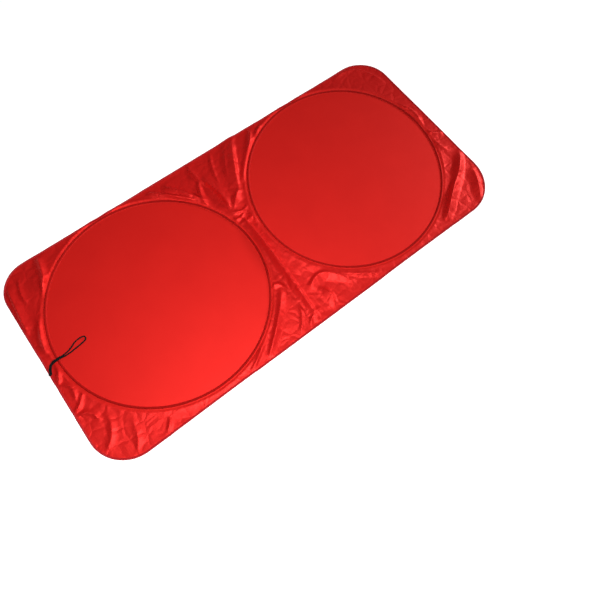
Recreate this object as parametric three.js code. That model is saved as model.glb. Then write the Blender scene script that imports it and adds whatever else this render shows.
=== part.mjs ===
// Twist-fold windscreen cover with two sprung hoops, laid out flat.
// Millimetres, +Z up, the cover's length along X, its height along Y, the floor at Z = 0.
import * as THREE from 'three';
import { mergeGeometries, mergeVertices } from 'three/addons/utils/BufferGeometryUtils.js';

// Sheet
const coverHeight = 702;
const farRightCorner = 113;
const farLeftCorner = 97;
const nearLeftCorner = 118;
const nearRightCorner = 131;
const clothThickness = 0.5;

// Sprung hoops, drawn slightly oval by the pull of the cloth
const hoopMargin = 20.5;
const hoopGap = 64;
const endMargin = 44;
const hoopSetAcross = -3.3;
const hoopSetUp = 8.5;
const leftHoopOval = 0.0134;
const leftHoopTurn = -0.8;
const rightHoopOval = 0.0211;
const rightHoopTurn = 0.84;
const wireDiameter = 2.2;
const wireEndGap = 2;

// Crimp sleeve that closes each hoop
const sleeveLength = 32;
const sleeveWall = 0.35;
const sleeveAngle = -1.9;

// Tapes
const casingWidth = 9;
const casingThickness = 0.4;
const bindingWidth = 5.5;
const bindingThickness = 0.4;

// Elastic loop
const loopCordDiameter = 3.5;
const loopStrandSpacing = 5.2;

// Fits and slopes
const clearance = 0.3;
const ribCrown = 2.6;
const casingSeam = 0.5;
const discSag = 100;
const outerSag = 16;
const edgeSag = 14;
const bindingSeam = 0.5;

// Sizes that follow from those
const hoopDiameter = coverHeight - 2 * hoopMargin;
const hoopSpacing = hoopDiameter + hoopGap;
const coverLength = hoopSpacing + hoopDiameter + 2 * endMargin;

// How finely the cloth is divided
const midlineSteps = 32;
const fanReach = 250;
const fanSteps = 14;
const longEdgeSteps = 7;
const cornerSteps = 5;
const endSteps = 11;
const marginSteps = 5;
const hoopSteps = 96;
const casingSteps = 72;
const loopSteps = 40;

// Colours
const red = { color: 0xc8141e, roughness: 0.45, metalness: 0 };
const tapeRed = { color: 0xa80c16, roughness: 0.6, metalness: 0 };
const springSteel = { color: 0x8d8f92, roughness: 0.35, metalness: 1 };
const black = { color: 0x141416, roughness: 0.8, metalness: 0 };

const group = new THREE.Group();

function addMesh(name, geometry, material) {
  const mesh = new THREE.Mesh(geometry, new THREE.MeshStandardMaterial(material));
  mesh.name = name;
  group.add(mesh);
}

// A hoop is an oval: its long axis is turned in the plane of the sheet.
class Hoop {
  constructor(side, oval, turn) {
    this.centre = new THREE.Vector2(side * hoopSpacing / 2 + hoopSetAcross, hoopSetUp);
    this.long = hoopDiameter / 2 * (1 + oval);
    this.short = hoopDiameter / 2 * (1 - oval);
    this.turn = turn;
  }

  radiusAt(angle) {
    const c = Math.cos(angle - this.turn) / this.long;
    const s = Math.sin(angle - this.turn) / this.short;
    return 1 / Math.hypot(c, s);
  }

  pointAt(angle, offset = 0) {
    const r = this.radiusAt(angle) + offset;
    return new THREE.Vector2(Math.cos(angle) * r, Math.sin(angle) * r).add(this.centre);
  }

  offsetOf(point) {
    const out = point.clone().sub(this.centre);
    return out.length() - this.radiusAt(out.angle());
  }
}

const leftHoop = new Hoop(-1, leftHoopOval, leftHoopTurn);
const rightHoop = new Hoop(1, rightHoopOval, rightHoopTurn);

// Heights of the layers in the rib: casing tape, sleeve and wire, then the sheet over them
const wireRadius = wireDiameter / 2;
const sleeveBore = wireRadius + clearance;
const sleeveRadius = sleeveBore + sleeveWall;
const wireHeight = casingThickness + clearance + sleeveRadius;
const seamHeight = casingThickness + clearance;
const crownHeight = wireHeight + sleeveRadius + clearance;
const bindingSeat = bindingThickness + clearance;
const ribHalf = casingWidth / 2 + casingSeam;
const crownHalf = ribCrown / 2;
const bindingReach = bindingWidth + bindingSeam;

// Folds of the loose cloth round the taut discs: start, middle and end as shares of the sheet's
// half length and half height, then the rise and half width. Those named fan spread from the
// pinch between the hoops to the long edges.
const farFan = [
  [[0.011, 0.274], [0.068, 0.484], [0.175, 0.969], 13, 11],
  [[0.081, 0.49], [0.174, 0.672], [0.262, 0.94], 10, 10],
  [[0.231, 0.812], [0.278, 0.869], [0.339, 0.963], 6, 9],
  [[0.033, 0.427], [0.049, 0.655], [0.081, 0.974], 7, 12],
  [[-0.016, 0.342], [-0.027, 0.627], [-0.019, 0.98], 10, 13],
  [[-0.068, 0.427], [-0.068, 0.613], [-0.049, 0.798], 9, 9],
  [[-0.084, 0.501], [-0.111, 0.712], [-0.119, 0.974], 8, 11],
  [[-0.114, 0.524], [-0.163, 0.729], [-0.239, 0.963], 8, 8],
  [[-0.147, 0.587], [-0.217, 0.769], [-0.29, 0.917], 7, 9],
];
const nearFan = [
  [[0.003, 0.085], [-0.008, -0.256], [-0.003, -0.963], 11, 9],
  [[-0.041, 0.114], [-0.046, -0.171], [-0.052, -0.712], 6, 9],
  [[-0.054, -0.541], [-0.149, -0.746], [-0.271, -0.94], 12, 16],
  [[-0.065, -0.427], [-0.1, -0.684], [-0.16, -0.974], 7, 11],
  [[-0.204, -0.746], [-0.25, -0.877], [-0.307, -0.974], 6, 7],
  [[-0.271, -0.832], [-0.312, -0.906], [-0.366, -0.974], 5, 7],
  [[0.041, -0.342], [0.071, -0.587], [0.122, -0.94], 9, 13],
  [[0.068, -0.456], [0.136, -0.712], [0.239, -0.963], 8, 11],
  [[0.122, -0.684], [0.204, -0.855], [0.312, -0.974], 5, 9],
  [[0.019, -0.57], [0.041, -0.769], [0.054, -0.974], 6, 8],
];
const pinch = [
  [[-0.035, 0.319], [0, 0.274], [0.033, 0.296], 9, 7],
  [[-0.033, 0.199], [-0.005, 0.165], [0.03, 0.188], 8, 7],
  [[-0.03, 0.125], [0, 0.057], [0.011, -0.057], 7, 8],
  [[0.014, 0.251], [0.022, 0.171], [0.008, 0.097], 6, 6],
];
const rightEnd = [
  [[0.923, 0.336], [0.958, 0.171], [0.931, 0.011], 8, 9],
  [[0.928, -0.068], [0.955, -0.131], [0.988, -0.188], 7, 8],
  [[0.904, -0.695], [0.939, -0.627], [0.98, -0.524], 9, 11],
  [[0.906, -0.684], [0.855, -0.746], [0.787, -0.764], 11, 13],
  [[0.904, -0.712], [0.83, -0.826], [0.744, -0.957], 9, 11],
  [[0.882, -0.735], [0.868, -0.855], [0.849, -0.969], 6, 9],
  [[0.868, 0.61], [0.896, 0.701], [0.925, 0.815], 6, 11],
  [[0.795, 0.786], [0.83, 0.872], [0.868, 0.957], 6, 11],
];
const leftEnd = [
  [[-0.814, 0.957], [-0.817, 0.786], [-0.836, 0.695], 8, 12],
  [[-0.912, 0.957], [-0.917, 0.764], [-0.95, 0.57], 9, 13],
  [[-0.882, 0.541], [-0.936, 0.427], [-0.98, 0.336], 7, 9],
  [[-0.942, 0.313], [-0.966, 0.217], [-0.985, 0.103], 7, 8],
  [[-0.95, 0.085], [-0.982, -0.057], [-0.98, -0.228], 6, 8],
  [[-0.95, -0.274], [-0.972, -0.319], [-0.988, -0.37], 6, 8],
  [[-0.936, -0.427], [-0.955, -0.49], [-0.98, -0.541], 5, 8],
  [[-0.868, -0.615], [-0.912, -0.684], [-0.955, -0.746], 6, 11],
  [[-0.801, -0.775], [-0.83, -0.86], [-0.863, -0.952], 6, 11],
];

class Fold {
  constructor([start, middle, end, rise, halfWidth]) {
    const halfSheet = new THREE.Vector2(coverLength / 2, coverHeight / 2);
    const corners = [start, middle, end].map((p) => new THREE.Vector2(...p).multiply(halfSheet));
    this.points = new THREE.SplineCurve(corners).getPoints(10);
    this.rise = rise;
    this.halfWidth = halfWidth;
  }

  heightAt(point) {
    let nearest = Infinity;
    let along = 0;
    for (let i = 0; i < this.points.length - 1; i += 1) {
      const a = this.points[i];
      const run = this.points[i + 1].clone().sub(a);
      const t = THREE.MathUtils.clamp(point.clone().sub(a).dot(run) / run.lengthSq(), 0, 1);
      const gap = a.clone().addScaledVector(run, t).distanceTo(point);
      if (gap < nearest) {
        nearest = gap;
        along = (i + t) / (this.points.length - 1);
      }
    }
    const fade = Math.sqrt(Math.sin(Math.PI * THREE.MathUtils.clamp(along * 0.9 + 0.05, 0, 1)));
    return this.rise * fade * Math.exp(-((nearest / this.halfWidth) ** 2));
  }
}

const folds = [...farFan, ...nearFan, ...pinch, ...rightEnd, ...leftEnd].map((f) => new Fold(f));

function foldHeight(point) {
  const heights = folds.map((fold) => fold.heightAt(point)).sort((a, b) => b - a);
  return heights[0] + 0.4 * heights[1];
}

// How far a point lies inside the outline, whose four corners are rounded each by its own radius
function insetOf(point) {
  const far = point.y > 0;
  const right = point.x > 0;
  const radius = far ? (right ? farRightCorner : farLeftCorner) : (right ? nearRightCorner : nearLeftCorner);
  const x = Math.abs(point.x) - coverLength / 2 + radius;
  const y = Math.abs(point.y) - coverHeight / 2 + radius;
  return radius - Math.hypot(Math.max(x, 0), Math.max(y, 0)) - Math.min(Math.max(x, y), 0);
}

// Height of the sheet's underside over the floor
function undersideAt(point) {
  const smooth = THREE.MathUtils.smoothstep;
  const left = leftHoop.offsetOf(point);
  const right = rightHoop.offsetOf(point);
  const offset = Math.abs(left) < Math.abs(right) ? left : right;
  if (Math.abs(offset) < ribHalf) {
    const t = THREE.MathUtils.clamp((ribHalf - Math.abs(offset)) / (ribHalf - crownHalf), 0, 1);
    return THREE.MathUtils.lerp(seamHeight, crownHeight, t);
  }
  if (offset < 0) {
    return seamHeight * (1 - smooth(-offset, ribHalf, discSag));
  }
  const inset = Math.max(insetOf(point) - bindingReach, 0);
  const nearHoop = seamHeight * (1 - smooth(offset, ribHalf, ribHalf + outerSag));
  const nearEdge = bindingSeat * (1 - smooth(inset, 0, edgeSag));
  const loose = smooth(offset, ribHalf, ribHalf + outerSag) * (0.35 + 0.65 * smooth(inset, 0, 2 * edgeSag));
  return Math.max(nearHoop, nearEdge) + loose * foldHeight(point);
}

// Outline of one half, from the far end of the midline round to its near end
function halfOutline(side) {
  const x = coverLength / 2;
  const y = coverHeight / 2;
  const far = side > 0 ? farRightCorner : farLeftCorner;
  const near = side > 0 ? nearRightCorner : nearLeftCorner;
  const points = [];
  const run = (ax, ay, bx, by, steps) => {
    for (let i = 0; i < steps; i += 1) {
      points.push(new THREE.Vector2(ax + (bx - ax) * i / steps, ay + (by - ay) * i / steps));
    }
  };
  const arc = (cx, cy, radius, start) => {
    for (let i = 0; i < cornerSteps; i += 1) {
      const angle = start - Math.PI / 2 * i / cornerSteps;
      points.push(new THREE.Vector2(cx + radius * Math.cos(angle), cy + radius * Math.sin(angle)));
    }
  };
  run(0, y, fanReach, y, fanSteps);
  run(fanReach, y, x - far, y, longEdgeSteps);
  arc(x - far, y - far, far, Math.PI / 2);
  run(x, y - far, x, near - y, endSteps);
  arc(x - near, near - y, near, 0);
  run(x - near, -y, fanReach, -y, longEdgeSteps);
  run(fanReach, -y, 0, -y, fanSteps);
  points.push(new THREE.Vector2(0, -y));
  return points.map((p) => new THREE.Vector2(p.x * side, p.y));
}

// Outward normals of an outline point, from its neighbours
function outwardAt(points, i) {
  const before = points[Math.max(i - 1, 0)];
  const after = points[Math.min(i + 1, points.length - 1)];
  const along = after.clone().sub(before).normalize();
  const out = new THREE.Vector2(along.y, -along.x);
  return out.dot(points[i]) < 0 ? out.negate() : out;
}

// Midline points, shared by both halves, with one just inside each long edge
function midline() {
  const end = coverHeight / 2 - bindingReach;
  const ys = [];
  for (let i = 0; i <= midlineSteps; i += 1) {
    ys.push(-end + 2 * end * i / midlineSteps);
  }
  return ys.map((y) => new THREE.Vector2(0, y));
}

// The edge takes one level where the two halves of the web meet
function edgeSeat(point) {
  const meeting = 1.01 * fanReach / fanSteps;
  return Math.abs(point.x) < meeting ? new THREE.Vector2(0, point.y) : point;
}

const clothAt = (point, seat = point) => new THREE.Vector3(point.x, point.y, undersideAt(seat));

// Each half of the sheet is a web of loops round its hoop: a flat disc, the rib, then the loose margin
function halfSheetLoops(hoop, side) {
  const outline = halfOutline(side);
  const inner = outline.map((p, i) => p.clone().addScaledVector(outwardAt(outline, i), -bindingReach));
  const shared = midline();
  const sharedInner = shared.map((p) => new THREE.Vector2(side * bindingReach, p.y));
  inner[0].x = side * bindingReach;
  inner[inner.length - 1].x = side * bindingReach;
  sharedInner[0].y += bindingReach;
  sharedInner[shared.length - 1].y -= bindingReach;
  const rim = [...outline, ...shared];
  const rimInner = [...inner, ...sharedInner];
  const onOutline = rim.map((p, i) => i < outline.length);

  // Under the binding the cloth lies level with its own edge
  const seats = rim.map((p, i) => (onOutline[i] ? edgeSeat(p) : null));
  seats[outline.length] = edgeSeat(outline[outline.length - 1]);
  seats[rim.length - 1] = edgeSeat(outline[0]);

  const loops = [];
  const hoopLoop = (offset) => rim.map((p) => {
    const angle = p.clone().sub(hoop.centre).angle();
    return hoop.pointAt(angle, offset);
  });
  for (const offset of [-discSag, -ribHalf, -crownHalf, crownHalf, ribHalf]) {
    loops.push(hoopLoop(offset).map((p) => clothAt(p)));
  }
  const start = hoopLoop(ribHalf);
  for (let k = 1; k < marginSteps; k += 1) {
    loops.push(start.map((p, i) => clothAt(p.clone().lerp(rimInner[i], k / marginSteps))));
  }
  loops.push(rimInner.map((p, i) => clothAt(p, seats[i] ?? p)));
  loops.push(rim.map((p, i) => clothAt(p, seats[i] ?? p)));
  return { loops, onOutline };
}

function halfSheetGeometry(hoop, side) {
  const { loops, onOutline } = halfSheetLoops(hoop, side);
  const count = loops[0].length;
  const positions = [];
  const index = [];
  const thickness = new THREE.Vector3(0, 0, clothThickness);
  const push = (p) => positions.push(p.x, p.y, p.z);
  const under = clothAt(hoop.centre);
  push(under);
  loops.forEach((loop) => loop.forEach(push));
  const layer = positions.length / 3;
  push(under.clone().add(thickness));
  loops.forEach((loop) => loop.forEach((p) => push(p.clone().add(thickness))));

  // The left half is a mirrored web, so its faces turn the other way
  const face = (a, b, c) => index.push(...(side > 0 ? [a, b, c] : [a, c, b]));
  const at = (loop, i) => 1 + loop * count + i % count;
  for (let i = 0; i < count; i += 1) {
    face(0, at(0, i), at(0, i + 1));
    face(layer, layer + at(0, i + 1), layer + at(0, i));
    for (let k = 0; k + 1 < loops.length; k += 1) {
      const [a, b, c, d] = [at(k, i), at(k, i + 1), at(k + 1, i + 1), at(k + 1, i)];
      face(a, c, b);
      face(a, d, c);
      face(layer + a, layer + b, layer + c);
      face(layer + a, layer + c, layer + d);
    }
    const last = loops.length - 1;
    if (onOutline[i] && onOutline[(i + 1) % count]) {
      const [a, b] = [at(last, i), at(last, i + 1)];
      face(a, layer + b, b);
      face(a, layer + a, layer + b);
    }
  }
  const geometry = new THREE.BufferGeometry();
  geometry.setAttribute('position', new THREE.Float32BufferAttribute(positions, 3));
  geometry.setIndex(index);
  return geometry;
}

const halves = [halfSheetGeometry(leftHoop, -1), halfSheetGeometry(rightHoop, 1)];
addMesh('cover_sheet', mergeVertices(mergeGeometries(halves), 0.001), red);

// Binding: a tape folded over the edge of the sheet, all the way round
function bindingGeometry() {
  const right = halfOutline(1);
  const left = halfOutline(-1).reverse();
  const outline = [...right.slice(0, -1), ...left.slice(0, -1)];
  const count = outline.length;
  const outer = clearance + bindingThickness;
  const gap = clearance;
  const top = clothThickness;
  const section = [
    [-bindingWidth, -outer],
    [outer, -outer],
    [outer, top + outer],
    [-bindingWidth, top + outer],
    [-bindingWidth, top + gap],
    [gap, top + gap],
    [gap, -gap],
    [-bindingWidth, -gap],
  ];
  const positions = [];
  const index = [];
  for (let i = 0; i < count; i += 1) {
    const p = outline[i];
    const along = outline[(i + 1) % count].clone().sub(outline[(i + count - 1) % count]).normalize();
    const out = new THREE.Vector2(-along.y, along.x);
    for (const [across, up] of section) {
      const q = p.clone().addScaledVector(out, across);
      positions.push(q.x, q.y, undersideAt(edgeSeat(p)) + up);
    }
  }
  const sides = section.length;
  for (let i = 0; i < count; i += 1) {
    for (let k = 0; k < sides; k += 1) {
      const a = i * sides + k;
      const b = i * sides + (k + 1) % sides;
      const c = (i + 1) % count * sides + (k + 1) % sides;
      const d = (i + 1) % count * sides + k;
      index.push(a, b, c, a, c, d);
    }
  }
  const geometry = new THREE.BufferGeometry();
  geometry.setAttribute('position', new THREE.Float32BufferAttribute(positions, 3));
  geometry.setIndex(index);
  return geometry;
}

addMesh('edge_binding', bindingGeometry(), tapeRed);

// Casing tape: a flat oval ring sewn under the sheet, with the wire between the two
function casingGeometry(hoop) {
  const shape = new THREE.Shape();
  const hole = new THREE.Path();
  const ring = (offset) => {
    const points = [];
    for (let i = 0; i < casingSteps; i += 1) {
      points.push(hoop.pointAt(2 * Math.PI * i / casingSteps, offset));
    }
    return points;
  };
  shape.setFromPoints(ring(casingWidth / 2));
  hole.setFromPoints(ring(-casingWidth / 2));
  shape.holes.push(hole);
  return new THREE.ExtrudeGeometry(shape, { depth: casingThickness, bevelEnabled: false });
}

addMesh('left_ring_casing', casingGeometry(leftHoop), tapeRed);
addMesh('right_ring_casing', casingGeometry(rightHoop), tapeRed);

// An arc of a hoop at the height of its wire
class HoopArc extends THREE.Curve {
  constructor(hoop, start, end) {
    super();
    this.hoop = hoop;
    this.start = start;
    this.end = end;
  }

  getPoint(t, target = new THREE.Vector3()) {
    const p = this.hoop.pointAt(THREE.MathUtils.lerp(this.start, this.end, t));
    return target.set(p.x, p.y, wireHeight);
  }
}

function circleShape(radius, sides) {
  const points = [];
  for (let i = 0; i < sides; i += 1) {
    const angle = 2 * Math.PI * (i + 0.5) / sides;
    points.push(new THREE.Vector2(Math.cos(angle) * radius, Math.sin(angle) * radius));
  }
  return new THREE.Shape(points);
}

// Spring wire: one length bent to a hoop, its ends nearly meeting inside the sleeve
function wireGeometry(hoop) {
  const half = wireEndGap / hoopDiameter;
  const path = new HoopArc(hoop, sleeveAngle + half, sleeveAngle + 2 * Math.PI - half);
  const options = { extrudePath: path, steps: hoopSteps, bevelEnabled: false };
  return new THREE.ExtrudeGeometry(circleShape(wireRadius, 6), options);
}

addMesh('left_ring_wire', wireGeometry(leftHoop), springSteel);
addMesh('right_ring_wire', wireGeometry(rightHoop), springSteel);

// Crimp sleeve: a short tube over the two wire ends
function sleeveGeometry(hoop) {
  const half = sleeveLength / hoopDiameter;
  const path = new HoopArc(hoop, sleeveAngle - half, sleeveAngle + half);
  const shape = circleShape(sleeveRadius, 12);
  shape.holes.push(new THREE.Path(circleShape(sleeveBore, 12).getPoints()));
  const options = { extrudePath: path, steps: 2, bevelEnabled: false };
  return new THREE.ExtrudeGeometry(shape, options);
}

addMesh('left_ring_ferrule', sleeveGeometry(leftHoop), springSteel);
addMesh('right_ring_ferrule', sleeveGeometry(rightHoop), springSteel);

// Retaining loop: an elastic cord sewn on at the left end by both its ends, lying over the cloth
// Points are measured from the left edge of the sheet.
const loopStem = [[5, -8], [10.5, 5], [17, 14.5], [25, 19], [41, 19.5], [60, 20]];
const loopEyeOut = [[78, 25], [91, 30], [102, 35.5], [114, 38.5], [126, 38.5], [134, 35.5]];
const loopEyeBack = [[136, 29.5], [131.5, 24.5], [122, 22], [109, 20], [94, 18.5], [78, 17]];

function loopRoute() {
  const fromEdge = ([x, y]) => new THREE.Vector2(x - coverLength / 2, y);
  const stem = new THREE.SplineCurve(loopStem.map(fromEdge));
  const strand = (side) => [0, 0.2, 0.4, 0.6, 0.8, 1].map((t) => {
    const p = stem.getPoint(t);
    const along = stem.getTangent(t);
    return p.add(new THREE.Vector2(-along.y, along.x).multiplyScalar(side * loopStrandSpacing / 2));
  });
  const eye = [...loopEyeOut, ...loopEyeBack].map(fromEdge);
  const flat = new THREE.SplineCurve([...strand(1), ...eye, ...strand(-1).reverse()]).getSpacedPoints(90);
  const lift = clothThickness + clearance + loopCordDiameter / 2;
  const bindingTop = clothThickness + 2 * clearance + bindingThickness + loopCordDiameter / 2;
  const heights = flat.map((p) => {
    const overBinding = insetOf(p) < bindingReach + loopCordDiameter;
    return undersideAt(p) + (overBinding ? Math.max(lift, bindingTop) : lift);
  });
  return flat.map((p, i) => {
    const reach = heights.slice(Math.max(i - 3, 0), i + 4);
    return new THREE.Vector3(p.x, p.y, Math.max(...reach));
  });
}

const loopPath = new THREE.CatmullRomCurve3(loopRoute());
const loopOptions = { extrudePath: loopPath, steps: loopSteps, bevelEnabled: false };
addMesh('retaining_loop', new THREE.ExtrudeGeometry(circleShape(loopCordDiameter / 2, 8), loopOptions), black);

export default group;
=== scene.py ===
import math
from collections import namedtuple

import bmesh
import bpy
import numpy as np
from mathutils import Euler, Matrix, Vector, noise
from mathutils.bvhtree import BVHTree
from mathutils.geometry import delaunay_2d_cdt
from mathutils.kdtree import KDTree


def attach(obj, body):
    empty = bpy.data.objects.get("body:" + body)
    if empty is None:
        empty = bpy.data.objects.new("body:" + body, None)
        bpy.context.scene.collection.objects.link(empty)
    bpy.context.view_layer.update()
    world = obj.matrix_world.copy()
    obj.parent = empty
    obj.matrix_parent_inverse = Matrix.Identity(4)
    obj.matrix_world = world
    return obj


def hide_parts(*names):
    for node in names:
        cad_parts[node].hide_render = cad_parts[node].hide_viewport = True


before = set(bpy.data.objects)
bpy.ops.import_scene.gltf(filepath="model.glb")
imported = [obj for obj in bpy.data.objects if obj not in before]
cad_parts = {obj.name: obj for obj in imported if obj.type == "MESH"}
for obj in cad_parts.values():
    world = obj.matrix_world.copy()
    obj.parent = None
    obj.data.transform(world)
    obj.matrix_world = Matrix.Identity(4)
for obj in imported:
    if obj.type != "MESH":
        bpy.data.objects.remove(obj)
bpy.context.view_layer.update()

scene = bpy.context.scene


# Sheet: one piece of coated polyester taffeta, red outside and silver on the reverse. Two oval discs
# of it are stretched taut by the sprung hoops; the cloth between and round them is loose and creased.
half_length = 0.737
half_height = 0.351
corner_radius = {(1, 1): 0.113, (-1, 1): 0.097, (-1, -1): 0.118, (1, -1): 0.131}
cloth_thickness = 0.0004
flange = 0.005
seam_height = 0.0007
crown_height = 0.0045
crown_half_width = 0.0036

# Each hoop: its centre, half its long axis, half its short axis, and the turn of the long axis
Hoop = namedtuple("Hoop", "x y long short turn")
hoops = {
    "left": Hoop(-0.3658, 0.0085, 0.33493, 0.32607, -0.80),
    "right": Hoop(0.3592, 0.0085, 0.33747, 0.32353, 0.84),
}


def hoop_radius(hoop, angle):
    return 1 / np.hypot(np.cos(angle - hoop.turn) / hoop.long, np.sin(angle - hoop.turn) / hoop.short)


def hoop_point(hoop, angle, beyond):
    radius = beyond + hoop_radius(hoop, angle)
    return hoop.x + radius * math.cos(angle), hoop.y + radius * math.sin(angle)


def beyond_hoop(x, y, hoop):
    dx, dy = x - hoop.x, y - hoop.y
    return np.hypot(dx, dy) - hoop_radius(hoop, np.arctan2(dy, dx))


def nearest_hoop(x, y):
    left = beyond_hoop(x, y, hoops["left"])
    right = beyond_hoop(x, y, hoops["right"])
    return np.where(np.abs(left) < np.abs(right), left, right)


def inset_from_edge(x, y):
    radius = np.select(
        [(x > 0) & (y > 0), (x <= 0) & (y > 0), x <= 0],
        [corner_radius[1, 1], corner_radius[-1, 1], corner_radius[-1, -1]],
        corner_radius[1, -1],
    )
    u = np.abs(x) - half_length + radius
    v = np.abs(y) - half_height + radius
    return radius - np.hypot(np.maximum(u, 0), np.maximum(v, 0)) - np.minimum(np.maximum(u, v), 0)


def ease(low, high, value):
    t = np.clip((value - low) / (high - low), 0, 1)
    return t * t * (3 - 2 * t)


# Creases that years of twisting leave: start, middle and end as shares of the half sizes, then the
# rise at the middle and the reach of the slopes on the left and on the right, in millimetres. The
# second pair of reaches holds at the end, where a crease opens out or closes.
creases = [
    # the fan above the pinch
    (-0.012, 0.345, 0.018, 0.418, 0.050, 0.475, 14, 16, 32, 12, 18),
    (0.052, 0.478, 0.116, 0.746, 0.170, 0.950, 15, 40, 13, 60, 14),
    (0.094, 0.545, 0.222, 0.808, 0.266, 0.945, 12, 16, 12, 20, 12),
    (0.284, 0.885, 0.305, 0.918, 0.331, 0.950, 7, 8, 9, 8, 9),
    (-0.026, 0.385, -0.028, 0.520, -0.046, 0.740, 16, 10, 24, 9, 34),
    (-0.104, 0.520, -0.098, 0.627, -0.071, 0.760, 13, 11, 28, 9, 9),
    (-0.058, 0.730, -0.068, 0.850, -0.066, 0.965, 9, 8, 14, 8, 20),
    (-0.098, 0.560, -0.154, 0.745, -0.202, 0.890, 16, 17, 10, 21, 11),
    (-0.132, 0.620, -0.192, 0.755, -0.272, 0.925, 14, 15, 9, 18, 10),
    (-0.195, 0.690, -0.255, 0.815, -0.330, 0.925, 8, 10, 8, 11, 8),
    (0.052, 0.660, 0.084, 0.800, 0.128, 0.940, 7, 9, 10, 11, 10),
    (0.000, 0.640, 0.018, 0.800, 0.050, 0.950, 6, 9, 10, 11, 12),
    # the long pleat below it, and the cloth to either side
    (-0.014, 0.190, -0.014, -0.240, -0.028, -0.930, 22, 8, 20, 9, 22),
    (0.040, -0.020, 0.068, -0.360, 0.108, -0.600, 11, 12, 46, 14, 66),
    (0.036, -0.670, 0.110, -0.655, 0.182, -0.860, 13, 12, 32, 12, 26),
    (0.060, -0.765, 0.070, -0.840, 0.062, -0.920, 16, 12, 28, 12, 28),
    (0.150, -0.700, 0.215, -0.830, 0.310, -0.960, 8, 12, 12, 16, 14),
    (-0.084, -0.560, -0.156, -0.735, -0.276, -0.950, 14, 22, 22, 14, 10),
    (-0.066, -0.780, -0.084, -0.860, -0.120, -0.950, 7, 11, 8, 11, 8),
    (-0.112, -0.500, -0.084, -0.485, -0.062, -0.540, 8, 8, 18, 8, 16),
    (-0.055, -0.160, -0.085, -0.300, -0.090, -0.400, 7, 9, 9, 9, 9),
    (-0.268, -0.840, -0.312, -0.905, -0.366, -0.965, 8, 8, 8, 8, 8),
    (-0.002, -0.880, -0.045, -0.905, -0.075, -0.965, 6, 8, 8, 8, 8),
    # the pinch between the hoops
    (-0.035, 0.319, 0.000, 0.274, 0.033, 0.296, 10, 7, 9, 7, 9),
    (-0.056, 0.262, -0.028, 0.222, 0.000, 0.252, 10, 7, 9, 7, 9),
    (-0.040, 0.175, -0.005, 0.165, 0.030, 0.188, 8, 7, 9, 7, 9),
    (0.020, 0.251, 0.024, 0.171, 0.016, 0.060, 6, 7, 6, 7, 6),
    # the right end
    (0.923, 0.336, 0.958, 0.171, 0.940, 0.011, 9, 12, 12, 12, 12),
    (0.960, 0.080, 0.938, -0.080, 0.985, -0.180, 9, 12, 12, 12, 11),
    (0.918, -0.090, 0.930, -0.250, 0.948, -0.360, 8, 12, 14, 12, 14),
    (0.975, -0.470, 0.930, -0.565, 0.876, -0.650, 18, 18, 22, 26, 20),
    (0.876, -0.650, 0.803, -0.745, 0.705, -0.900, 19, 28, 14, 24, 10),
    (0.965, -0.690, 0.938, -0.800, 0.890, -0.950, 13, 12, 27, 12, 26),
    (0.850, -0.520, 0.808, -0.620, 0.768, -0.710, 8, 10, 14, 10, 12),
    # the left end
    (-0.806, 0.935, -0.846, 0.612, -0.937, 0.250, 20, 13, 23, 10, 20),
    (-0.968, 0.840, -0.975, 0.650, -0.986, 0.420, 10, 24, 8, 20, 8),
    (-0.915, 0.870, -0.932, 0.740, -0.930, 0.640, 6, 11, 9, 11, 9),
    (-0.924, 0.450, -0.949, 0.310, -0.965, 0.170, 12, 12, 19, 14, 16),
    (-0.950, 0.060, -0.966, -0.050, -0.985, -0.120, 9, 10, 11, 10, 10),
    (-0.985, -0.150, -0.955, -0.200, -0.962, -0.300, 7, 11, 10, 11, 10),
    (-0.930, -0.290, -0.962, -0.370, -0.985, -0.390, 7, 10, 10, 10, 10),
    (-0.985, -0.440, -0.945, -0.470, -0.930, -0.560, 7, 11, 11, 11, 11),
    (-0.900, -0.560, -0.915, -0.700, -0.965, -0.800, 6, 18, 16, 18, 18),
    (-0.835, -0.730, -0.850, -0.860, -0.880, -0.955, 5, 16, 16, 18, 16),
    (-0.720, -0.880, -0.735, -0.930, -0.760, -0.965, 5, 10, 10, 12, 10),
    # the corner at the far end of the top edge
    (0.790, 0.960, 0.900, 0.905, 0.965, 0.640, 6, 9, 18, 9, 16),
]


def crease_line(crease, t):
    # the curve runs through its middle point
    a, b, c = (np.array(crease[i:i + 2]) * (half_length, half_height) for i in (0, 2, 4))
    return a * (1 - t) * (1 - 2 * t) + b * 4 * t * (1 - t) + c * t * (2 * t - 1)


def crease_height(x, y):
    first = np.zeros_like(x)
    second = np.zeros_like(x)
    steps = 12
    for crease in creases:
        rise, left, right, left_end, right_end = crease[6:]
        nearest = np.full_like(x, 9.0)
        along = np.zeros_like(x)
        side = np.zeros_like(x)
        for step in range(steps):
            start, end = (crease_line(crease, t / steps) for t in (step, step + 1))
            run = end - start
            dx, dy = x - start[0], y - start[1]
            share = np.clip((dx * run[0] + dy * run[1]) / run.dot(run), 0, 1)
            gap = np.hypot(dx - share * run[0], dy - share * run[1])
            closer = gap < nearest
            nearest = np.where(closer, gap, nearest)
            along = np.where(closer, (step + share) / steps, along)
            across = (run[0] * dy - run[1] * dx) / (math.hypot(*run) * gap + 1e-9)
            side = np.where(closer, np.clip(across, -1, 1), side)
        # a crease is lower towards its ends, and its slopes are a little steeper near the crest
        fade = np.sqrt(np.sin(math.pi * np.clip(along * 0.86 + 0.07, 0, 1)))
        reach = (left + (left_end - left) * along) * (1 + side) / 2
        reach = reach + (right + (right_end - right) * along) * (1 - side) / 2
        slope = np.clip(1 - nearest / (reach / 1000), 0, 1)
        height = rise / 1000 * fade * slope * (0.85 + 0.15 * slope)
        second = np.maximum(second, np.minimum(height, first))
        first = np.maximum(first, height)
    return first + 0.3 * second


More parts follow.
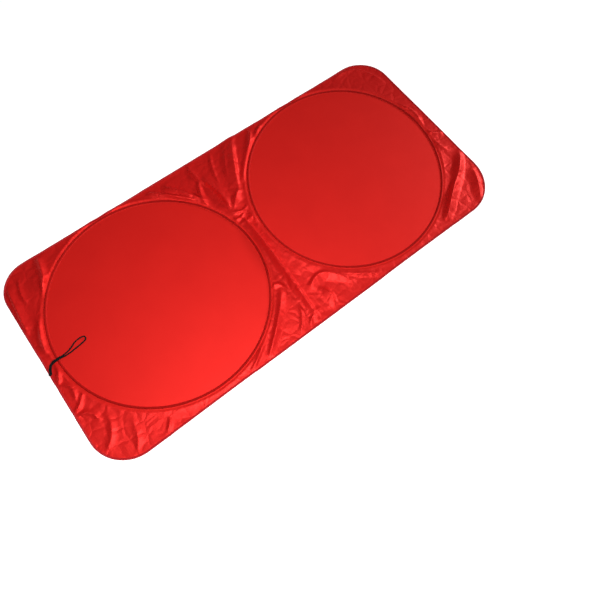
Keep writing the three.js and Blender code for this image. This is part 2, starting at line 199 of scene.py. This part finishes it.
# The sheet's mesh: rows of points round the edge and round each hoop, coarse points on the taut
# discs, fine ones in the loose cloth, and three rows along every crease
edge_step = 0.0045
binding_width = 0.0055
taut_pitch = 0.014
loose_pitch = 0.0040
crest_pitch = 0.0032
crest_apart = 0.0019
flank_gap = 0.0026
disc_inset = 0.031
# the room that points leave to the hoops and to the edge
crest_clear = (0.0098, 0.0078)
loose_clear = (0.0102, 0.0082)
coarse_rows = (-0.024, -0.014)
fine_rows = (-0.008, -0.005, -0.0036, -0.0024, -0.0012, 0, 0.0012, 0.0024, 0.0036, 0.005, 0.0075)
coarse_count = 210
fine_count = 420


def outline(inset):
    arcs = []
    for side, first in (((1, -1), -90), ((1, 1), 0), ((-1, 1), 90), ((-1, -1), 180)):
        radius = corner_radius[side]
        middle = (np.array((half_length, half_height)) - radius) * side
        steps = round(radius * math.pi / 2 / edge_step)
        angles = np.radians(np.linspace(first, first + 90, steps + 1))
        arcs.append(middle + (radius - inset) * np.stack([np.cos(angles), np.sin(angles)], 1))
    path = []
    for arc, ahead in zip(arcs, arcs[1:] + arcs[:1]):
        steps = round(math.dist(arc[-1], ahead[0]) / edge_step)
        path.extend([*arc, *np.linspace(arc[-1], ahead[0], steps + 1)[1:-1]])
    return path


def hexagonal(pitch):
    rows = np.arange(-half_height, half_height, pitch * 0.866)
    columns = np.arange(-half_length, half_length, pitch)
    gx, gy = np.meshgrid(columns, rows)
    gx = gx + (np.arange(len(rows)) % 2)[:, None] * pitch / 2
    return gx.ravel(), gy.ravel()


def clear_of_seams(x, y, clear):
    return (nearest_hoop(x, y) > clear[0]) & (inset_from_edge(x, y) > clear[1])


def tree_of(places):
    tree = KDTree(len(places))
    for i, place in enumerate(places):
        tree.insert((place[0], place[1], 0), i)
    tree.balance()
    return tree


rim_line = outline(0.0)
inner_line = outline(binding_width)
spots = list(rim_line) + list(inner_line)
for hoop in hoops.values():
    for beyond in coarse_rows + fine_rows:
        count = coarse_count if beyond in coarse_rows else fine_count
        spots.extend(hoop_point(hoop, angle, beyond) for angle in np.arange(count) * 2 * math.pi / count)
gx, gy = hexagonal(taut_pitch)
inside = nearest_hoop(gx, gy) < -disc_inset
spots.extend(zip(gx[inside], gy[inside]))

crest_spots, flank_spots = [], []
for crease in creases:
    length = math.dist(crease_line(crease, 0), crease_line(crease, 1))
    for t in np.linspace(0, 1, round(length / crest_pitch)):
        spot = crease_line(crease, t)
        ahead = crease_line(crease, t + 0.01) - crease_line(crease, t - 0.01)
        aside = np.array((-ahead[1], ahead[0])) / math.hypot(*ahead) * flank_gap
        crest_spots.append(spot)
        flank_spots.extend((spot + aside, spot - aside))
crests = np.array(crest_spots + flank_spots)
kept = []
for spot in crests[clear_of_seams(*crests.T, crest_clear)]:
    # crossing crests share a point
    if not kept or min(math.dist(spot, other) for other in kept) > crest_apart:
        kept.append(spot)
spots.extend(kept)
taken = tree_of(kept)
gx, gy = hexagonal(loose_pitch)
inside = clear_of_seams(gx, gy, loose_clear)
spots.extend(spot for spot in zip(gx[inside], gy[inside]) if taken.find((*spot, 0))[2] > flank_gap)

corner_count = len(rim_line)
ring = [(i, (i + 1) % corner_count) for i in range(corner_count)]
flat, _, triangles, _, _, _ = delaunay_2d_cdt([Vector(spot) for spot in spots], ring, [], 1, 1e-6)
sheet_mesh = bpy.data.meshes.new("sheet")
sheet_mesh.from_pydata([(v.x, v.y, 0) for v in flat], [], triangles)
sheet = bpy.data.objects.new("sheet", sheet_mesh)
scene.collection.objects.link(sheet)


def vertices_of(mesh):
    points = np.empty(len(mesh.vertices) * 3)
    mesh.vertices.foreach_get("co", points)
    return points.reshape(-1, 3)


ripple_height = 0.0012
ripple_scale = 22
loosening = 0.010
held_fade = 0.004

x, y = vertices_of(sheet_mesh)[:, :2].T
offset = nearest_hoop(x, y)
loose = ease(flange, flange + loosening, offset)
ripple_spots = [(px * ripple_scale, py * ripple_scale, 3.1) for px, py in zip(x, y)]
ripple = np.array([noise.fractal(spot, 0.8, 2.0, 3) for spot in ripple_spots])
laid_z = seam_height + loose * (crease_height(x, y) + ripple_height * np.abs(ripple))

# The cloth was cut with some spare: the hoops were set further apart on it than they come to lie,
# and the margins are a little larger than the space that they lie in
spare_between = 0.006
spare_round = 0.012
middle_band = 0.030
centre_x = np.where(x > 0, hoops["right"].x, hoops["left"].x)
centre_y = np.full_like(x, hoops["left"].y)
towards_side = np.clip(x / middle_band, -1, 1)
cut_x = x + towards_side * spare_between + np.abs(towards_side) * (x - centre_x) * spare_round
cut_y = y + (y - centre_y) * spare_round

sheet.shape_key_add(name="Basis", from_mix=False)
laid_key = sheet.shape_key_add(name="laid", from_mix=False)
cut_key = sheet.shape_key_add(name="cut", from_mix=False)
laid_key.data.foreach_set("co", np.stack([x, y, laid_z], 1).ravel())
cut_key.data.foreach_set("co", np.stack([cut_x, cut_y, laid_z], 1).ravel())
laid_key.value = 1.0

held = sheet.vertex_groups.new(name="held")
weights = np.clip(1 - ease(flange, flange + held_fade, offset), 0, 1)
for index in np.nonzero(weights > 0.01)[0]:
    held.add([int(index)], float(weights[index]), "REPLACE")

# The loose cloth settles on a table while the taut discs are held
table_mesh = bpy.data.meshes.new("table_for_draping")
slab = bmesh.new()
bmesh.ops.create_grid(slab, x_segments=1, y_segments=1, size=1.2)
slab.to_mesh(table_mesh)
slab.free()
table = bpy.data.objects.new("table_for_draping", table_mesh)
scene.collection.objects.link(table)
table.location.z = -0.0008
table.modifiers.new("collision", "COLLISION")
table.collision.thickness_outer = 0.0005
table.collision.cloth_friction = 2.0

drape = sheet.modifiers.new("drape", "CLOTH")
cloth = drape.settings
cloth.quality = 10
cloth.mass = 0.002
cloth.bending_model = "LINEAR"
cloth.tension_stiffness = 15
cloth.compression_stiffness = 15
cloth.shear_stiffness = 5
cloth.bending_stiffness = 0.35
cloth.tension_damping = 5
cloth.compression_damping = 5
cloth.shear_damping = 5
cloth.bending_damping = 0.5
cloth.air_damping = 2
cloth.vertex_group_mass = "held"
cloth.pin_stiffness = 1.0
cloth.rest_shape_key = cut_key
cloth.effector_weights.gravity = 0.15
drape.collision_settings.use_collision = True
drape.collision_settings.distance_min = 0.0005
drape.collision_settings.use_self_collision = False
frames = 8
drape.point_cache.frame_start = 1
drape.point_cache.frame_end = frames
for number in range(1, frames + 1):
    scene.frame_set(number)
draped = bpy.data.meshes.new_from_object(sheet.evaluated_get(bpy.context.evaluated_depsgraph_get()))
sheet.modifiers.clear()
sheet.shape_key_clear()
sheet.data = draped
bpy.data.objects.remove(table)
scene.frame_set(1)

# The cloth is drawn up over the wires, and lifted on to the lower leg of the binding at the edge
binding_lift = 0.0006
lift_band = (0.006, 0.020)
slack_from = 0.016

points = vertices_of(draped)
offset = nearest_hoop(points[:, 0], points[:, 1])
points[offset < 0, 2] = seam_height
over_wire = np.cos(np.clip(np.abs(offset) / crown_half_width, 0, 1) * math.pi / 2) ** 2
edge_lift = binding_lift * (1 - ease(*lift_band, inset_from_edge(points[:, 0], points[:, 1])))
points[:, 2] += np.maximum((crown_height - seam_height) * over_wire, edge_lift)
draped.vertices.foreach_set("co", points.ravel())
for name, values in (("slack", ease(flange, slack_from, offset)), ("hoop_gap", offset)):
    draped.attributes.new(name, "FLOAT", "POINT").data.foreach_set("value", values.astype(np.float32))
draped.polygons.foreach_set("use_smooth", np.ones(len(draped.polygons), dtype=bool))
lookup = tree_of(flat)
rim = [Vector(points[lookup.find((*spot, 0))[1]]) for spot in rim_line]
inner = [Vector(points[lookup.find((*spot, 0))[1]]) for spot in inner_line]
skin = sheet.modifiers.new("thickness", "SOLIDIFY")
skin.thickness = cloth_thickness
skin.offset = 1.0
skin.material_offset = 1
skin.use_rim = True


def set_inputs(material, node, inputs):
    for name, value in inputs.items():
        if isinstance(value, bpy.types.NodeSocket):
            material.node_tree.links.new(value, node.inputs[name])
        else:
            node.inputs[name].default_value = value


def new_material(name):
    material = bpy.data.materials.new(name)
    material.use_nodes = True
    return material


def set_finish(material, inputs):
    set_inputs(material, material.node_tree.nodes["Principled BSDF"], inputs)
    return material


def add_node(material, kind, output, inputs, **properties):
    node = material.node_tree.nodes.new("ShaderNode" + kind)
    for name, value in properties.items():
        setattr(node, name, value)
    set_inputs(material, node, inputs)
    return node.outputs[output]


def object_place(material):
    return add_node(material, "TexCoord", "Object", {})


def mixed(material, factor, first, second, blend_type="MIX"):
    inputs = {"Factor": factor, "A": first, "B": second}
    return add_node(material, "Mix", "Result", inputs, data_type="RGBA", blend_type=blend_type)


def painted_rib_shade(material, hoop_gap):
    across = {"Value": hoop_gap, "From Min": -0.010, "From Max": 0.010}
    fac = add_node(material, "MapRange", "Result", across)
    rib_shade_ramp = add_node(material, "ValToRGB", "Color", {"Fac": fac})
    ramp = rib_shade_ramp.node.color_ramp
    for element, position in zip(ramp.elements, (0.31, 0.69)):
        element.position = position
        element.color = (1, 1, 1, 1)
    # painted shade: a dark band about 5 mm wide, with soft edges, over each hoop's rib
    for position in (0.37, 0.63):
        ramp.elements.new(position).color = (0.52, 0.22, 0.22, 1)
    return rib_shade_ramp


def crushed_bump(material, place, slack):
    warp = add_node(material, "TexNoise", "Color", {"Vector": place, "Scale": 14})
    bend = {0: warp, 1: (0.05, 0.05, 0.05), 2: place}
    bent = add_node(material, "VectorMath", "Vector", bend, operation="MULTIPLY_ADD")
    cells = {"Vector": bent, "Scale": 26}
    crush = add_node(material, "TexVoronoi", "Distance", cells, feature="DISTANCE_TO_EDGE")
    soft = add_node(material, "MapRange", "Result", {"Value": crush, "From Max": 0.25})
    amount = add_node(material, "Math", "Value", {0: soft, 1: slack}, operation="MULTIPLY")
    return add_node(material, "Bump", "Normal", {"Height": amount, "Strength": 0.5, "Distance": 0.0018})


def plain_weave_bump(material, place, under):
    thread = {"Vector": place, "Scale": 700, "Distortion": 0.6}
    threads = [add_node(material, "TexWave", "Fac", thread, bands_direction=way) for way in ("X", "Y")]
    weave = add_node(material, "Math", "Value", dict(enumerate(threads)), operation="ADD")
    relief = {"Height": weave, "Normal": under, "Strength": 0.25, "Distance": 0.00008}
    return add_node(material, "Bump", "Normal", relief)


def taffeta(name, colour, colour_shade, slack_shade_colour, roughness_taut, roughness_slack, metallic, tint):
    coated = new_material(name)
    place = object_place(coated)
    slack = add_node(coated, "Attribute", "Fac", {}, attribute_name="slack")
    hoop_gap = add_node(coated, "Attribute", "Fac", {}, attribute_name="hoop_gap")

    # the dye is slightly uneven, and along each hoop's rib a dark band is painted in as shade of the rib
    # and its groove
    cloud = add_node(coated, "TexNoise", "Fac", {"Vector": place, "Scale": 9, "Detail": 5})
    dye = mixed(coated, cloud, colour, colour_shade)
    rib_shade = painted_rib_shade(coated, hoop_gap)
    dye_with_rib_shade = mixed(coated, 1, dye, rib_shade, "MULTIPLY")
    # painted shade: where the cloth is loose its colour is multiplied by a darker tint, though it is the
    # same cloth as the taut discs
    painted_slack_shade = mixed(coated, slack, (1, 1, 1, 1), slack_shade_colour)

    sheen = {"Value": slack, "To Min": roughness_taut, "To Max": roughness_slack}
    gloss = add_node(coated, "MapRange", "Result", sheen)
    dullness = {"Value": rib_shade, "From Min": 0.45, "From Max": 1, "To Min": 0.85, "To Max": 0}
    dull = add_node(coated, "MapRange", "Result", dullness)
    return set_finish(coated, {
        "Base Color": mixed(coated, 1, dye_with_rib_shade, painted_slack_shade, "MULTIPLY"),
        "Metallic": metallic,
        "Roughness": add_node(coated, "Math", "Value", {0: gloss, 1: dull}, operation="MAXIMUM"),
        "Normal": plain_weave_bump(coated, place, crushed_bump(coated, place, slack)),
        "Specular IOR Level": 0.4,
        "Specular Tint": tint,
        "Sheen Weight": 0.05,
        "Sheen Roughness": 0.4,
        "Sheen Tint": colour,
    })


red_taffeta = taffeta(
    "red_taffeta", (0.80, 0.014, 0.010, 1), (0.72, 0.010, 0.008, 1), (0.93, 0.84, 1.0, 1),
    0.60, 0.48, 0.40, (1.0, 0.7, 0.6, 1),
)
silver_reverse = taffeta(
    "silver_coating", (0.52, 0.53, 0.55, 1), (0.44, 0.45, 0.47, 1), (0.94, 0.94, 0.94, 1),
    0.45, 0.38, 0.7, (1.0, 1.0, 1.0, 1),
)
draped.materials.clear()
draped.materials.append(red_taffeta)
draped.materials.append(silver_reverse)

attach(sheet, "root")
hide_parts("cover_sheet")


# Casing tapes: woven polyester tape in the red of the binding, sewn flat to the reverse of the sheet
# to make a tunnel for each hoop.
def tape_material(name):
    tape = new_material(name)
    ribs = {"Vector": object_place(tape), "Scale": 500}
    weave = add_node(tape, "TexWave", "Fac", ribs, bands_direction="DIAGONAL")
    relief = {"Height": weave, "Strength": 0.4, "Distance": 0.0001}
    return set_finish(tape, {
        "Base Color": (0.42, 0.005, 0.009, 1),
        "Roughness": 0.65,
        "Specular IOR Level": 0.3,
        "Normal": add_node(tape, "Bump", "Normal", relief),
    })


def dress(node, material):
    for material_slot in bpy.data.objects[node].material_slots:
        material_slot.material = material


red_tape = tape_material("red_tape")
dress("left_ring_casing", red_tape)
dress("right_ring_casing", red_tape)


# Hoop wires: drawn spring steel, dull from its oil, with fine streaks along the draw. A crimped
# sleeve of plated steel closes the two ends of each hoop.
def steel(name, colour, colour_shade, roughness, stretch):
    metal = new_material(name)
    drawn = add_node(metal, "Mapping", "Vector", {"Vector": object_place(metal), "Scale": stretch})
    streaks = add_node(metal, "TexNoise", "Fac", {"Vector": drawn, "Scale": 60, "Detail": 6})
    polish = {"Value": streaks, "To Min": roughness - 0.08, "To Max": roughness + 0.12}
    relief = {"Height": streaks, "Strength": 0.3, "Distance": 0.00005}
    return set_finish(metal, {
        "Base Color": mixed(metal, streaks, colour, colour_shade),
        "Metallic": 1,
        "Roughness": add_node(metal, "MapRange", "Result", polish),
        "Normal": add_node(metal, "Bump", "Normal", relief),
    })


drawn_steel = steel("drawn_steel", (0.33, 0.33, 0.34, 1), (0.20, 0.20, 0.21, 1), 0.38, (1, 1, 14))
plated_steel = steel("plated_steel", (0.56, 0.56, 0.54, 1), (0.42, 0.42, 0.41, 1), 0.42, (1, 1, 1))
for side_name in ("left", "right"):
    dress(side_name + "_ring_wire", drawn_steel)
    dress(side_name + "_ring_ferrule", plated_steel)


# Edge binding: a red polyester tape folded over the raw edge all the way round, and sewn through
# all its layers with one row of lockstitch.
tape_thickness = 0.00035
tape_bottom = -0.00045
tape_top = 0.00085
binding_profile = [
    (binding_width, tape_bottom),
    (0.0, tape_bottom),
    (-0.0004, tape_bottom + 0.0002),
    (-0.00055, (tape_bottom + tape_top) / 2),
    (-0.0004, tape_top - 0.0002),
    (0.0, tape_top),
    (binding_width, tape_top),
    (binding_width, tape_top - tape_thickness),
    (0.0, tape_top - tape_thickness),
    (0.0, tape_bottom + tape_thickness),
    (binding_width, tape_bottom + tape_thickness),
]


def add_piece(name, mesh_data, material):
    mesh = bpy.data.meshes.new(name)
    bmesh.ops.recalc_face_normals(mesh_data, faces=mesh_data.faces[:])
    mesh_data.to_mesh(mesh)
    mesh_data.free()
    mesh.materials.append(material)
    piece = bpy.data.objects.new(name, mesh)
    scene.collection.objects.link(piece)
    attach(piece, "root")
    return piece


tape = bmesh.new()
count = len(rim)
rounds = []
for i in range(count):
    along = (rim[(i + 1) % count] - rim[i - 1]).normalized()
    inward = inner[i] - rim[i]
    inward = (inward - along * inward.dot(along)).normalized()
    up = along.cross(inward)
    if up.z < 0:
        up.negate()
    rounds.append([tape.verts.new(rim[i] + inward * s + up * h) for s, h in binding_profile])
for i in range(count):
    here, ahead = rounds[i], rounds[(i + 1) % count]
    for k in range(len(binding_profile)):
        m = (k + 1) % len(binding_profile)
        face = tape.faces.new((here[k], here[m], ahead[m], ahead[k]))
        face.smooth = True

binding = add_piece("binding_tape", tape, red_tape)
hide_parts("edge_binding")


# Retaining loop: a black round elastic cord, braided over rubber, with both its ends sewn in under
# the binding at the left end. It lies over the cloth, and holds the cover when it is coiled up.
elastic_path = [
    (-0.7344, -0.0070, 0.0041), (-0.7310, 0.0014, 0.0041), (-0.7270, 0.0094, 0.0040),
    (-0.7216, 0.0166, 0.0041), (-0.7139, 0.0212, 0.0044), (-0.7057, 0.0221, 0.0072),
    (-0.6966, 0.0221, 0.0070), (-0.6876, 0.0222, 0.0072), (-0.6796, 0.0224, 0.0033),
    (-0.6707, 0.0232, 0.0032), (-0.6617, 0.0244, 0.0032), (-0.6531, 0.0269, 0.0032),
    (-0.6448, 0.0306, 0.0032), (-0.6368, 0.0347, 0.0032), (-0.6283, 0.0375, 0.0032),
    (-0.6194, 0.0388, 0.0032), (-0.6104, 0.0384, 0.0032), (-0.6023, 0.0348, 0.0032),
    (-0.6027, 0.0265, 0.0032), (-0.6108, 0.0228, 0.0032), (-0.6197, 0.0212, 0.0032),
    (-0.6286, 0.0199, 0.0032), (-0.6376, 0.0190, 0.0032), (-0.6465, 0.0181, 0.0032),
    (-0.6555, 0.0172, 0.0032), (-0.6645, 0.0170, 0.0032), (-0.6735, 0.0174, 0.0032),
    (-0.6821, 0.0179, 0.0050), (-0.6905, 0.0179, 0.0072), (-0.6995, 0.0178, 0.0072),
    (-0.7083, 0.0176, 0.0066), (-0.7174, 0.0149, 0.0054), (-0.7231, 0.0078, 0.0047),
    (-0.7270, -0.0002, 0.0047), (-0.7303, -0.0086, 0.0046),
]
elastic_curve = bpy.data.curves.new("elastic_loop", "CURVE")
elastic_curve.dimensions = "3D"
elastic_curve.bevel_depth = 0.0021
elastic_curve.bevel_resolution = 3
elastic_curve.resolution_u = 6
elastic_curve.use_fill_caps = True
line = elastic_curve.splines.new("BEZIER")
line.bezier_points.add(len(elastic_path) - 1)
for knot, place in zip(line.bezier_points, elastic_path):
    knot.co = place
    knot.handle_left_type = knot.handle_right_type = "AUTO"


def braid_material(name):
    braid = new_material(name)
    strands = add_node(braid, "TexVoronoi", "Distance", {"Vector": object_place(braid), "Scale": 1100})
    relief = {"Height": strands, "Strength": 0.6, "Distance": 0.0003}
    return set_finish(braid, {
        "Base Color": mixed(braid, strands, (0.007, 0.007, 0.0075, 1), (0.002, 0.002, 0.0025, 1)),
        "Roughness": 0.85,
        "Specular IOR Level": 0.2,
        "Normal": add_node(braid, "Bump", "Normal", relief),
    })


elastic_curve.materials.append(braid_material("black_braid"))
elastic = bpy.data.objects.new("elastic_loop", elastic_curve)
scene.collection.objects.link(elastic)
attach(elastic, "root")
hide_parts("retaining_loop")


# Sewing: red polyester thread in lockstitch, one row on the binding and one on either side of each
# hoop. Each stitch is a short spindle of thread, half sunk into what it is sewn through.
stitch_pitch = 0.0032
stitch_length = 0.0025
thread_radius = 0.00022
seam_gap = 0.0047
binding_seam = 0.68

stitch_shape = bmesh.new()
bmesh.ops.create_uvsphere(stitch_shape, u_segments=4, v_segments=4, radius=1)
stitch_mesh = bpy.data.meshes.new("stitch")
stitch_shape.to_mesh(stitch_mesh)
stitch_shape.free()


def surface(piece_mesh):
    piece_mesh.calc_loop_triangles()
    corners = [tuple(corner.vertices) for corner in piece_mesh.loop_triangles]
    return BVHTree.FromPolygons([v.co for v in piece_mesh.vertices], corners)


def height_at(tree, x, y, above):
    hit = tree.ray_cast(Vector((x, y, 0.05)), Vector((0, 0, -1)))[0]
    return hit.z + above if hit else None


def lay_stitch(thread_mesh, start, end, radius):
    along = end - start
    turn = along.to_track_quat("Z", "X").to_matrix().to_4x4()
    stretch = Matrix.Diagonal((radius, radius, along.length / 2, 1))
    laid = stitch_mesh.copy()
    laid.transform(Matrix.Translation((start + end) / 2) @ turn @ stretch)
    thread_mesh.from_mesh(laid)
    bpy.data.meshes.remove(laid)


def sew_row(thread_mesh, path, tree, above):
    path = np.array(path)
    closed = np.vstack([path, path[:1]])
    lengths = np.concatenate([[0], np.cumsum(np.hypot(*np.diff(closed, axis=0).T))])
    stitches = int(lengths[-1] / stitch_pitch)
    for i in range(stitches):
        begin = i * lengths[-1] / stitches
        ends = []
        for run in (begin, begin + stitch_length):
            px, py = (np.interp(run, lengths, closed[:, axis]) for axis in (0, 1))
            z = height_at(tree, px, py, above)
            ends.append(Vector((px, py, z)) if z else None)
        if all(ends):
            lay_stitch(thread_mesh, *ends, thread_radius)


def thread_material(name, colour, colour_shade):
    thread = new_material(name)
    twist = {"Vector": object_place(thread), "Scale": 900}
    ply = add_node(thread, "TexWave", "Fac", twist, bands_direction="DIAGONAL")
    return set_finish(thread, {
        "Base Color": mixed(thread, ply, colour, colour_shade),
        "Roughness": 0.55,
        "Specular IOR Level": 0.4,
    })


seams = bmesh.new()
cloth_surface = surface(draped)
for hoop in hoops.values():
    for beyond in (-seam_gap, seam_gap):
        row = [hoop_point(hoop, angle, beyond) for angle in np.linspace(0, 2 * math.pi, 721)[:-1]]
        sew_row(seams, row, cloth_surface, cloth_thickness)
row = [edge.lerp(inside_edge, binding_seam)[:2] for edge, inside_edge in zip(rim, inner)]
sew_row(seams, row, surface(binding.data), 0.0)
red_thread = thread_material("red_thread", (0.62, 0.012, 0.012, 1), (0.40, 0.006, 0.008, 1))
add_piece("seam_stitches", seams, red_thread)


# Bar tack: a dense zigzag of black thread across the binding, which holds down the loop's two ends.
# Its stitches lie side by side over both strands.
tack_middle = Vector((-0.7330, -0.0078))
tack_half_width = 0.0052
tack_pitch = 0.00028
tack_height = 0.0072
tack_passes = 18
tack_thread_radius = 0.00026

tack_run = (Vector(elastic_path[1]) - Vector(elastic_path[0])).normalized().to_2d()
tack_side = Vector((tack_run.y, -tack_run.x))
turns = []
for i in range(tack_passes + 1):
    aside = tack_side * (tack_half_width if i % 2 else -tack_half_width)
    spot = tack_middle + aside + tack_run * (i - tack_passes / 2) * tack_pitch
    turns.append(Vector((spot.x, spot.y, tack_height)))
tack = bmesh.new()
for start, end in zip(turns, turns[1:]):
    lay_stitch(tack, start, end, tack_thread_radius)
black_thread = thread_material("black_thread", (0.012, 0.012, 0.013, 1), (0.004, 0.004, 0.005, 1))
add_piece("bar_tack", tack, black_thread)
bpy.data.meshes.remove(stitch_mesh)


# Floor, light and camera: a plain pale floor under the cover, a soft lamp over its near edge and a
# weaker one far off to the right. The camera stands over the near long edge and looks down, turned
# so that the cover runs up to the right across the square picture.
floor_mesh = bpy.data.meshes.new("floor")
ground = bmesh.new()
floor_drop = Matrix.Translation((0, 0, -0.0003))
bmesh.ops.create_grid(ground, x_segments=1, y_segments=1, size=30, matrix=floor_drop)
ground.to_mesh(floor_mesh)
ground.free()
floor = bpy.data.objects.new("floor", floor_mesh)
scene.collection.objects.link(floor)
pale_floor = set_finish(new_material("pale_floor"), {
    "Base Color": (0.85, 0.85, 0.85, 1),
    "Roughness": 0.9,
    "Emission Color": (1, 1, 1, 1),
    "Emission Strength": 0.65,
})
floor_mesh.materials.append(pale_floor)


def softbox(name, place, aim, size, power):
    lamp = bpy.data.lights.new(name, "AREA")
    lamp.shape = "RECTANGLE"
    lamp.size, lamp.size_y = size
    lamp.energy = power
    lamp_object = bpy.data.objects.new(name, lamp)
    lamp_object.location = place
    lamp_object.visible_camera = False
    lamp_object.rotation_euler = (Vector(aim) - Vector(place)).to_track_quat("-Z", "Y").to_euler()
    scene.collection.objects.link(lamp_object)


softbox("lamp", (-0.42, -0.60, 1.40), (-0.20, 0.05, 0), (0.30, 0.30), 22.5)
softbox("window", (4.2, -0.40, 1.60), (0.2, 0, 0), (0.7, 0.7), 115)
room = bpy.data.worlds.new("room")
room.use_nodes = True
backdrop = room.node_tree.nodes["Background"]
backdrop.inputs["Color"].default_value = (1, 1, 1, 1)
backdrop.inputs["Strength"].default_value = 0.09
scene.world = room
scene.view_settings.view_transform = "Standard"

view = bpy.data.cameras.new("view_from_above")
view.sensor_width = 36.0
view.lens = 27.41
view_object = bpy.data.objects.new("view_from_above", view)
view_object.location = (-0.3194, -0.5716, 1.3162)
view_object.rotation_euler = Euler([math.radians(a) for a in (17.968, -1.492, -37.468)], "XYZ")
scene.collection.objects.link(view_object)
scene.camera = view_object
